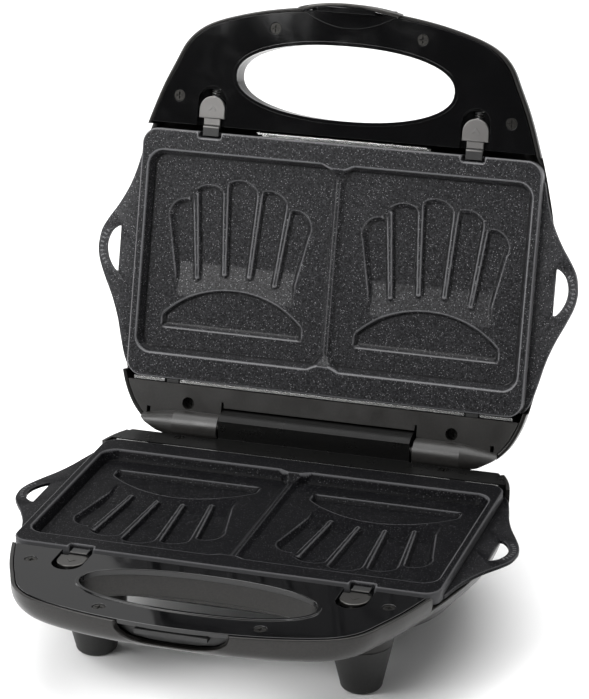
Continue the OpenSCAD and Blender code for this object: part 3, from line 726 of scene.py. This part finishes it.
def plate_height(x, d):
    y = d - 96.0
    # one wide recess split by a low ridge that flares where it meets the rim
    open_ = rr_sdf(x, y, 221.4, 114.4, 9.0)
    ends = np.clip((np.abs(y) - 48.5) / 8.7, 0, 1)
    flare = abs(x) - 1.0 - 5.2 * ends ** 1.5
    rid = smin(1.0, smax(0.0, 1 - flare / (2.45 + 0.9 * ends), 0.1), 0.1)
    w = wall(open_, 2.8, 0.1)
    depth = POCKET * w
    depth = depth - np.minimum(depth, (POCKET - 3.95 * (1 - sm(ends))) * rid)
    depth = np.maximum(depth, 0)
    fx = abs(x) - 56.5
    sgn = np.sign(x) + (x == 0)
    fig = figure(np.where(sgn > 0, fx, -fx), d)
    return -(depth + fig * (w > 0.97))


def round_rect_grid(w, d, r, pitch):
    """regular grid over a rounded rectangle, its corners mapped onto quarter discs"""
    def axis(L):
        core = np.linspace(-L / 2 + r, L / 2 - r, int((L - 2 * r) / pitch) + 1)
        k = max(6, int(r / pitch))
        e = np.linspace(0, r, k + 1)[1:]
        return np.r_[(-L / 2 + r) - e[::-1], core, (L / 2 - r) + e]
    X, Y = np.meshgrid(axis(w), axis(d))
    qx, qy = abs(X) - (w / 2 - r), abs(Y) - (d / 2 - r)
    c = (qx > 0) & (qy > 0)
    u, v = qx / r, qy / r
    nx = np.where(c, (w / 2 - r) + r * u * np.sqrt(1 - np.clip(v, 0, 1) ** 2 / 2), abs(X))
    ny = np.where(c, (d / 2 - r) + r * v * np.sqrt(1 - np.clip(u, 0, 1) ** 2 / 2), abs(Y))
    return np.sign(X) * nx, np.sign(Y) * ny


def grid_border(rows, cols):
    idx = np.arange(rows * cols).reshape(rows, cols)
    return list(idx[0, :-1]) + list(idx[:-1, -1]) + list(idx[-1, :0:-1]) + list(idx[:0:-1, 0])


def plate_mesh(half):
    er = 0.9
    X, Y = round_rect_grid(230 - 2 * er, 140 - 2 * er, 9 - er, 0.6)
    D = Y + 95.0
    H = plate_height(X, D)
    # notches for the two plate latches at the front
    for s in (-1, 1):
        nd = rr_sdf(X - s * 75.7, D - 166.0, 13.4, 9.0, 1.2)
        H = H - 4.6 * wall(nd, 0.8, 0.1)
    rows, cols = X.shape
    V = [np.c_[X.ravel(), D.ravel(), H.ravel()]]
    F = []
    idx = np.arange(rows * cols).reshape(rows, cols)
    a, b, c, d = idx[:-1, :-1].ravel(), idx[:-1, 1:].ravel(), idx[1:, 1:].ravel(), idx[1:, :-1].ravel()
    F += list(zip(a.tolist(), b.tolist(), c.tolist(), d.tolist()))
    bd = grid_border(rows, cols)
    B = V[0][bd]
    n = len(bd)
    # outward direction of the border
    w2, d2, r = 115 - er, 70 - er, 9 - er
    qx, qy = abs(B[:, 0]) - (w2 - r), abs(B[:, 1] - 95) - (d2 - r)
    nx = np.where(qx > 0, qx, 0) * np.sign(B[:, 0])
    ny = np.where(qy > 0, qy, 0) * np.sign(B[:, 1] - 95)
    l = np.hypot(nx, ny)
    nx, ny = nx / l, ny / l

    def ringat(o, h):
        return np.c_[B[:, 0] + nx * o, B[:, 1] + ny * o, h]
    rings = [B]
    for a_ in (0.33, 0.67, 1.0):
        an = a_ * math.pi / 2
        rings.append(ringat(er * math.sin(an), B[:, 2] - er * (1 - math.cos(an))))
    rings.append(ringat(er, np.full(n, -6.7)))
    rings.append(ringat(er - 0.5, np.full(n, -7.2)))
    rings.append(ringat(er - 3, np.full(n, -7.2)))
    inner = rings[-1].copy()
    inner[:, 0] = inner[:, 0] * 0.97
    inner[:, 1] = 96 + (inner[:, 1] - 95) * 0.86
    inner[:, 2] = -10.4
    rings.append(inner)
    base_i = rows * cols
    V += rings[1:]
    allr = [bd] + [list(range(base_i + k * n, base_i + (k + 1) * n)) for k in range(len(rings) - 1)]
    for k in range(len(allr) - 1):
        for i in range(n):
            j = (i + 1) % n
            F.append((allr[k][i], allr[k + 1][i], allr[k + 1][j], allr[k][j]))
    F.append(tuple(allr[-1]))
    parts = [(np.vstack(V), F)]
    return join_parts(parts)


def smooth_loop(pts, sub=5, closed=True, corners=()):
    P = np.array(pts, float)
    n = len(P)
    out = []
    for i in range(n):
        if not closed and i == n - 1:
            break
        a, b, c, d = P[(i - 1) % n], P[i], P[(i + 1) % n], P[(i + 2) % n]
        if i in corners:
            a = b
        if (i + 1) % n in corners:
            d = c
        for k in range(sub):
            t = k / sub
            out.append(0.5 * (2 * b + (c - a) * t + (2 * a - 5 * b + 4 * c - d) * t * t + (3 * b - a - 3 * c + d) * t ** 3))
    return np.array(out)


def flat_piece(loops, h0, h1, bevel, res=3):
    """extruded outline with holes and rounded edges, in the half frame"""
    cu = bpy.data.curves.new("tmp", "CURVE")
    cu.dimensions = "2D"
    cu.fill_mode = "BOTH"
    k = 10.0
    for lp in loops:
        sp = cu.splines.new("POLY")
        sp.points.add(len(lp) - 1)
        for i, p in enumerate(lp):
            sp.points[i].co = (p[0] * k, p[1] * k, 0, 1)
        sp.use_cyclic_u = True
    cu.extrude = k * ((h1 - h0) / 2 - bevel)
    cu.bevel_depth = k * bevel
    cu.bevel_resolution = res
    cu.offset = -k * bevel
    ob = bpy.data.objects.new("tmp", cu)
    bpy.context.scene.collection.objects.link(ob)
    bpy.context.view_layer.update()
    me = bpy.data.meshes.new_from_object(ob)
    v = np.array([q.co[:] for q in me.vertices]).reshape(-1, 3) / k
    v[:, 2] += (h0 + h1) / 2
    f = [tuple(p.vertices) for p in me.polygons]
    bpy.data.objects.remove(ob)
    bpy.data.curves.remove(cu)
    bpy.data.meshes.remove(me)
    return v, f


EAR = [(112.5, 160), (116, 153), (119, 141), (122.5, 131), (128, 120.5), (134, 111.5), (137.4, 105), (138.7, 98), (138.7, 93),
       (137.2, 86.5), (133.6, 78), (128.4, 67), (124.4, 56), (121.6, 45), (118.4, 34), (115, 28), (112.5, 27)]
EAR_HOLE = [(126, 107.6), (127.6, 107.4), (131, 104.4), (133, 99.6), (133.4, 95), (132.4, 90), (130.2, 85.6), (127.6, 82.6), (126, 82.4)]


def ears():
    out = smooth_loop(EAR, 6, corners=(0, 1, 15, 16))
    hole = smooth_loop(EAR_HOLE, 5, corners=(0, 8))
    v, f = flat_piece([out, hole], -7.2, -5.0, 0.55)
    # short grip ribs round the end of the ear
    parts = [(v, f)]
    for k in range(9):
        a = math.radians(-42 + k * 84 / 8)
        cx, cd = 124.5 + 12.1 * math.cos(a) * 1.0, 95.4 + 13.5 * math.sin(a)
        ux, ud = math.cos(a), math.sin(a)
        L, W = 0.95, 0.42
        q = [(-L, -W), (L, -W), (L, W), (-L, W)]
        loop = [(cx + ux * p - ud * s, cd + ud * p + ux * s) for p, s in q]
        parts.append(flat_piece([loop], -5.3, -4.72, 0.16, 1))
    rv, rf = join_parts(parts)
    lv = rv * np.array([-1.0, 1.0, 1.0])
    lf = [q[::-1] for q in rf]
    return join_parts([(rv, rf), (lv, lf)])


def lugs():
    parts = []
    for s in (-1, 1):
        x0, x1 = s * 87 - 3.3, s * 87 + 3.3
        loop = [(x0, 23.3), (x1, 23.3), (x1, 26.5), (x0, 26.5)]
        parts.append(flat_piece([loop], -5.2, -3.2, 0.3, 1))
    return join_parts(parts)


for half, node in (("base", "lower_plate"), ("lid", "upper_plate")):
    v, f = join_parts([plate_mesh(half), ears(), lugs()])
    add(node + "_cast", v, f, half, half, "plate", [node], angle=50, merge=1e-7, mat=LOWER_PLATE_SHADED_COPY if half == "base" else None)



# ---------------------------------------------------------------- plate latches and the closing clip
def box_loop(x0, x1, d0, d1):
    return [(x0, d0), (x1, d0), (x1, d1), (x0, d1)]


def latch(half, side, sx):
    node = half + "_latch_" + side
    cx = sx * 75.7
    a = np.linspace(0, math.pi, 25)
    pad = [(cx - 7.6, 172.7), (cx + 7.6, 172.7)] + [(cx + 7.6 * math.cos(q), 177.6 + 7.6 * math.sin(q)) for q in a]
    mark = [(cx - 2.4, 177.6), (cx - 1.6, 176.8), (cx, 178.6), (cx + 1.6, 176.8), (cx + 2.4, 177.6), (cx, 180.3)]
    parts = [flat_piece([pad], -3.7, -1.15, 0.55), flat_piece([mark], -1.25, -0.95, 0.1, 1),
             flat_piece([box_loop(cx - 4.75, cx + 4.75, 168.9, 173.4)], -3.9, -2.5, 0.25),
             flat_piece([box_loop(cx - 4.75, cx + 4.75, 167.2, 168.2)], -3.9, -1.6, 0.3)]
    v, f = join_parts(parts)
    add(node + "_pad", v, f, half, node, SLOT[node], [node], angle=40, mat=DARK_PAD if half == "base" else GREY_PAD)
    # painted shade: the tongue pieces get the near-black catch finish in place of the latch's grey, for the shade
    # inside the plate notch
    parts = [flat_piece([box_loop(cx - 4.7, cx + 4.7, 162.8, 168.6)], -2.5, -1.7, 0.2),
             flat_piece([box_loop(cx - 4.9, cx + 4.9, 166.4, 170)], -4.1, -3.1, 0.2),
             flat_piece([box_loop(cx - 2.8, cx + 2.8, 173.2, 175.1)], -9.0, -3.4, 0.3)]
    v, f = join_parts(parts)
    add(node + "_tongue", v, f, half, node, "catch", angle=40)


for half in ("base", "lid"):
    latch(half, "left", -1)
    latch(half, "right", 1)


def knuckle_lip():
    """edge of the lid's rear panel that runs close over the hinge knuckle"""
    v, f = flat_piece([box_loop(-55.6, 55.6, 11.6, 15.6)], -2.8, -0.52, 0.4)
    add("knuckle_lip", v, f, "lid", "lid", "panel", angle=40)


knuckle_lip()


def clip_out(x):
    return 241.75 - 4.2 * (x / 30.0) ** 2


def clip_top(x):
    return 9.4 * np.sqrt(np.clip(1 - (abs(x) / 30.0) ** 5, 0, 1))


def clip_wall(x0, x1, bottom, t_out, t_in, n=97, lift=0.0):
    """curved wall of even thickness along x, its free edge rounded"""
    rings = []
    for x in np.linspace(x0, x1, n):
        o, top = clip_out(x), clip_top(x) - lift
        r = min(0.7, max(0.05, (top - bottom) * 0.45), (t_in - t_out) * 0.45)
        sec = [(o - t_out, bottom)]
        sec += [(o - t_out - r + r * math.cos(q), top - r + r * math.sin(q)) for q in np.linspace(0, math.pi / 2, 5)]
        sec += [(o - t_in + r - r * math.sin(q), top - r + r * math.cos(q)) for q in np.linspace(0, math.pi / 2, 5)]
        sec += [(o - t_in, bottom)]
        rings.append(np.array([(x, a, b) for a, b in sec]))
    return np.vstack(rings), loft(rings, True, True, True)


def clip():
    parts = [clip_wall(-28.6, 28.6, -0.45, 0.0, 1.9), clip_wall(-27.0, 27.0, -11.8, 0.0, 1.9)]
    v, f = join_parts(parts)
    add("clip_band", v, f, "lid", "closing_clip", SLOT["closing_clip"], ["closing_clip"], angle=40, mat=DARK_PAD)
    parts = [clip_wall(-25.0, 25.0, -11.7, 1.6, 2.3, lift=1.1), clip_wall(-26.6, 26.6, -6.0, 1.6, 2.3, lift=1.1)]
    parts.append(flat_piece([box_loop(-16.5, 16.5, 236.4, 239.6)], 7.2, 8.8, 0.3))
    for s in (-1, 1):
        t = np.arange(32) * math.pi / 16
        rg = [np.c_[np.full(32, x), 234 + 2.6 * np.cos(t), -9 + 2.6 * np.sin(t)] for x in (s * 18, s * 24)]
        parts.append((np.vstack(rg), loft(rg, True, True, True)))
        parts.append(flat_piece([box_loop(min(s * 18, s * 24), max(s * 18, s * 24), 234, 239.6)], -10.4, -7.6, 0.3))
    v, f = join_parts(parts)
    add("clip_inner", v, f, "lid", "closing_clip", SLOT["closing_clip"], angle=40)
    # shallow glossy cover on the lid's frame behind the clip
    low = smooth_loop([(-27.6, 238.2), (-25.2, 235.4), (-20.5, 232.9), (-14, 230.3), (-7, 228.6), (0, 228), (7, 228.6),
                       (14, 230.3), (20.5, 232.9), (25.2, 235.4), (27.6, 238.2)], 4, closed=False)
    low = np.vstack([low, [(27.6, 238.2)]])
    xs = np.linspace(27.4, -27.4, 40)
    hi = np.c_[xs, clip_out(xs) - 2.65]
    loop = [tuple(q) for q in low if q[1] < clip_out(q[0]) - 2.75] + [tuple(q) for q in hi]
    v, f = flat_piece([loop], -0.6, 0.4, 0.25)
    add("clip_cover", v, f, "lid", "lid", "clip", angle=40)


clip()

# ---------------------------------------------------------------- carried-over pieces with rounded edges
for n in ("base_frame", "lid_frame"):
    soften(n, 0.45, 3)
for n in ("base_rear_panel", "lid_rear_panel"):
    soften(n, 0.5, 3)
for n in ("clip_keeper", "lower_plate_catches", "upper_plate_catches", "lower_reflector", "upper_reflector",
          "feet", "cord_gland", "power_lens", "ready_lens", "terminal_block", "lower_thermostat", "upper_thermostat"):
    soften(n, 0.25, 2)
for n in ("base_frame_screws", "lid_frame_screws", "base_rear_screws", "lid_rear_screws", "foot_screws", "hinge_pins", "clip_pin"):
    soften(n, 0.15, 2)

# ---------------------------------------------------------------- stage, lights, camera
def stage():
    me = bpy.data.meshes.new("studio_floor")
    s = 6.0
    me.from_pydata([(-s, -s, 0), (s, -s, 0), (s, s, 0), (-s, s, 0)], [], [(0, 1, 2, 3)])
    ob = bpy.data.objects.new("studio_floor", me)
    bpy.context.scene.collection.objects.link(ob)
    m = Mat("floor_paper", (0.92, 0.92, 0.92), 0.7)
    m.color(m.mix(m.noise(3, 2), (0.91, 0.91, 0.91), (0.93, 0.93, 0.93)))
    ob.data.materials.append(m.m)


def area(name, loc, look, size, power, size_y=None, color=(1, 1, 1)):
    d = bpy.data.lights.new(name, "AREA")
    d.shape = "RECTANGLE"
    d.size = size
    d.size_y = size_y or size
    d.energy = power
    d.color = color
    o = bpy.data.objects.new(name, d)
    o.location = loc
    v = Vector(look) - Vector(loc)
    o.rotation_euler = v.to_track_quat("-Z", "Y").to_euler()
    bpy.context.scene.collection.objects.link(o)
    return o


stage()
area("rear_top", (0.0, 1.0, 2.2), (0, 0.1, 0.0), 2.5, 52, 2.0)
area("top_wide", (0.0, -0.6, 2.3), (0, -0.35, 0.0), 2.6, 36, 1.4)
area("key_left", (-0.77, -1.0, 1.1), (0, 0.05, 0.2), 0.9, 20, 0.8)
area("left_strip", (-1.4, -1.0, 0.9), (0, 0, 0.15), 0.35, 5, 1.4)
area("left_rear", (-1.5, 0.5, 0.8), (0, 0, 0.2), 0.3, 8, 1.2)
area("left_low", (-1.1, -1.15, 0.4), (0, 0.1, 0.2), 0.4, 0.45, 0.7)
area("right_strip", (0.9, -1.4, 0.8), (0, 0, 0.15), 0.25, 2.5, 1.2)

world = bpy.data.worlds.new("studio")
bpy.context.scene.world = world
world.use_nodes = True
nt = world.node_tree
bg = nt.nodes["Background"]
tc = nt.nodes.new("ShaderNodeTexCoord")
sp = nt.nodes.new("ShaderNodeSeparateXYZ")
lnk(nt, tc.outputs["Generated"], sp.inputs["Vector"])
mr = nt.nodes.new("ShaderNodeMapRange")
mr.interpolation_type = "SMOOTHSTEP"
for i, val in zip(("From Min", "From Max", "To Min", "To Max"), (-0.25, 0.45, 0.05, 0.6)):
    mr.inputs[i].default_value = val
lnk(nt, sp.outputs["Y"], mr.inputs["Value"])
lnk(nt, mr.outputs["Result"], bg.inputs["Strength"])
bg.inputs["Color"].default_value = (1, 1, 1, 1)

az, el, roll = math.radians(18.037421), math.radians(21.343371), math.radians(-0.410586)
back = Vector((math.sin(az) * math.cos(el), -math.cos(az) * math.cos(el), math.sin(el)))
rt = Vector((math.cos(az), math.sin(az), 0))
up = back.cross(rt)
R = rt * math.cos(roll) + up * math.sin(roll)
U = -rt * math.sin(roll) + up * math.cos(roll)
cam = bpy.data.cameras.new("camera")
cam.sensor_fit = "AUTO"
cam.sensor_width = 36
cam.lens = 3022.245 * 36 / 699
cam.clip_end = 50
co = bpy.data.objects.new("camera", cam)
M = Matrix((R, U, back)).transposed().to_4x4()
M.translation = Vector((0.467538, HY - 1.474609, HZ + 0.658700))
co.matrix_world = M
bpy.context.scene.collection.objects.link(co)
bpy.context.scene.camera = co
bpy.context.scene.view_settings.view_transform = "Standard"
